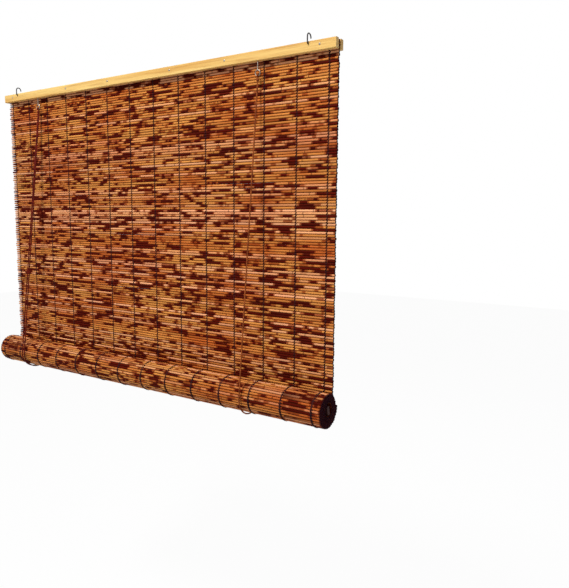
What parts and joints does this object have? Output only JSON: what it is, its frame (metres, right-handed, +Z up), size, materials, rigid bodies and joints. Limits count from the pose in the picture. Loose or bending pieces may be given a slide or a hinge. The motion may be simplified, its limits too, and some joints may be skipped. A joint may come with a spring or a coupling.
{
  "type": "reed roll-up blind",
  "caption": "Partly lowered reed roll-up blind: a mat of round reeds twined on dark warps hangs from a pale wood head rail and winds into a roll held by lift cords.",
  "frame": {"origin": "middle of the rear face of the head rail's back batten", "axes": "+X along the rail to the viewer's right, +Y into the wall, +Z up"},
  "size_m": [0.807, 0.07, 0.5875],
  "materials": {
    "pale_wood": "planed, unvarnished",
    "reed": "scorched and varnished, glossy",
    "warp_thread": "waxed twine",
    "lift_cord": "braided",
    "dark_wire": "black lacquer",
    "bright_wire": "zinc plated",
    "steel_nail": "bright"
  },
  "bodies": {
    "head": {"front_batten": "pale_wood", "back_batten": "pale_wood", "batten_nails": "steel_nail", "hanging_hooks": "dark_wire", "cord_eyes": "bright_wire", "clamped_reeds": "reed", "front_knots": "lift_cord", "back_knots": "lift_cord", "left_cord_front": "lift_cord", "right_cord_front": "lift_cord", "left_cord_back": "lift_cord", "right_cord_back": "lift_cord", "reed_band_01": "reed", "reed_band_02": "reed", "reed_band_03": "reed", "reed_band_04": "reed", "reed_band_05": "reed", "reed_band_06": "reed", "reed_band_07": "reed", "reed_band_08": "reed", "reed_band_09": "reed", "reed_band_10": "reed", "reed_band_11": "reed", "reed_band_12": "reed", "reed_band_13": "reed", "reed_band_14": "reed", "reed_band_15": "reed", "reed_band_16": "reed", "reed_band_17": "reed", "reed_band_18": "reed", "reed_band_19": "reed", "reed_band_20": "reed", "reed_band_21": "reed", "warp_01": "warp_thread", "warp_02": "warp_thread", "warp_03": "warp_thread", "warp_04": "warp_thread", "warp_05": "warp_thread", "warp_06": "warp_thread", "warp_07": "warp_thread", "warp_08": "warp_thread", "warp_09": "warp_thread", "warp_10": "warp_thread", "warp_11": "warp_thread", "warp_12": "warp_thread", "warp_13": "warp_thread", "warp_14": "warp_thread"},
    "sling": {"cord_slings": "lift_cord"},
    "roll": {"reed_roll": "reed", "roll_warps": "warp_thread", "bottom_lath": "pale_wood"}
  },
  "joints": [
    {"name": "roll_lift", "type": "slide", "parent": "head", "child": "sling", "axis": [0, 0, 1], "range_m": [0, 0.465], "deforming": ["reed_band_02", "reed_band_03", "reed_band_04", "reed_band_05", "reed_band_06", "reed_band_07", "reed_band_08", "reed_band_09", "reed_band_10", "reed_band_11", "reed_band_12", "reed_band_13", "reed_band_14", "reed_band_15", "reed_band_16", "reed_band_17", "reed_band_18", "reed_band_19", "reed_band_20", "reed_band_21", "warp_01", "warp_02", "warp_03", "warp_04", "warp_05", "warp_06", "warp_07", "warp_08", "warp_09", "warp_10", "warp_11", "warp_12", "warp_13", "warp_14", "left_cord_front", "right_cord_front", "left_cord_back", "right_cord_back"]},
    {"name": "roll_turn", "type": "hinge", "parent": "sling", "child": "roll", "pos_m": [0, -0.038, -0.5355], "axis": [1, 0, 0], "range_deg": [-990, 0]}
  ],
  "couplings": [
    {"joint": "roll_turn", "follows": "roll_lift", "rad_per_m": -37.037}
  ]
}
